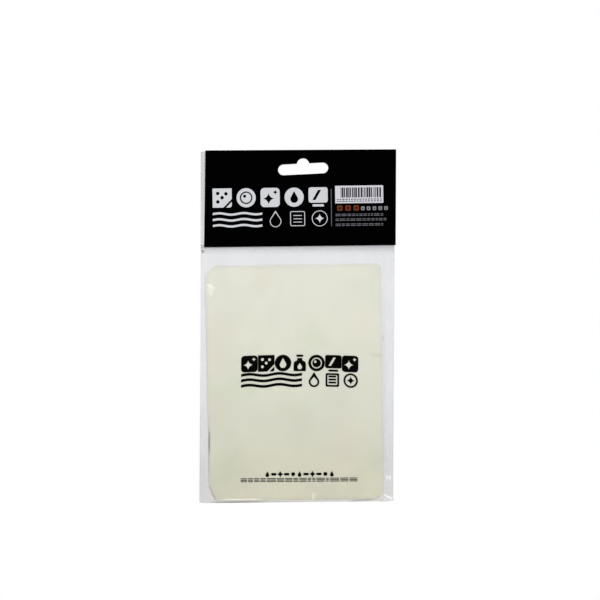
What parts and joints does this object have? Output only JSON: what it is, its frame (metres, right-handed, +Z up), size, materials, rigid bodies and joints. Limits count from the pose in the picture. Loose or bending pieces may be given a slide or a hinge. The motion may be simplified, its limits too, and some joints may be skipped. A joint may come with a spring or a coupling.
{
  "type": "chamois cloth",
  "caption": "Flat rounded chamois cloth in a clear film pouch with a folded card header and a hang slot; the header opens and lifts off, and the cloth draws out.",
  "frame": {"origin": "the hang point: the crown of the hang slot, halfway between the pack's front and back", "axes": "+Z up along the hanging pack, -Y out of the printed front, +X to the right as seen from the front"},
  "size_m": [0.1235, 0.0022, 0.2223],
  "materials": {
    "clear_film": "clear glossy film, slightly grey",
    "film_weld": "fused film bead",
    "header_card": "black printed card, matt",
    "mounting_tape": "double-sided tissue tape",
    "chamois": "pale cream suede"
  },
  "bodies": {
    "pouch": {"bag_front_film": "clear_film", "bag_back_film": "clear_film", "bag_front_left_flank": "clear_film", "bag_front_right_flank": "clear_film", "bag_back_left_flank": "clear_film", "bag_back_right_flank": "clear_film", "bag_left_weld": "film_weld", "bag_right_weld": "film_weld", "bag_bottom_fold": "clear_film"},
    "header": {"header_front_leaf": "header_card", "header_front_tape": "mounting_tape"},
    "header_back": {"header_back_leaf": "header_card", "header_back_tape": "mounting_tape"},
    "cloth": {"chamois_cloth": "chamois"}
  },
  "joints": [
    {"name": "header_lift", "type": "slide", "parent": "pouch", "child": "header", "axis": [0, 0, 1], "range_m": [0, 0.3]},
    {"name": "back_leaf_fold", "type": "hinge", "parent": "header", "child": "header_back", "pos_m": [0, 0, 0.00535], "axis": [1, 0, 0], "range_deg": [0, 170]},
    {"name": "cloth_draw", "type": "slide", "parent": "pouch", "child": "cloth", "axis": [0, 0, 1], "range_m": [0, 0.225]}
  ],
  "couplings": [
    {"joint": "cloth_draw", "follows": "header_lift", "ratio": 0.75}
  ]
}
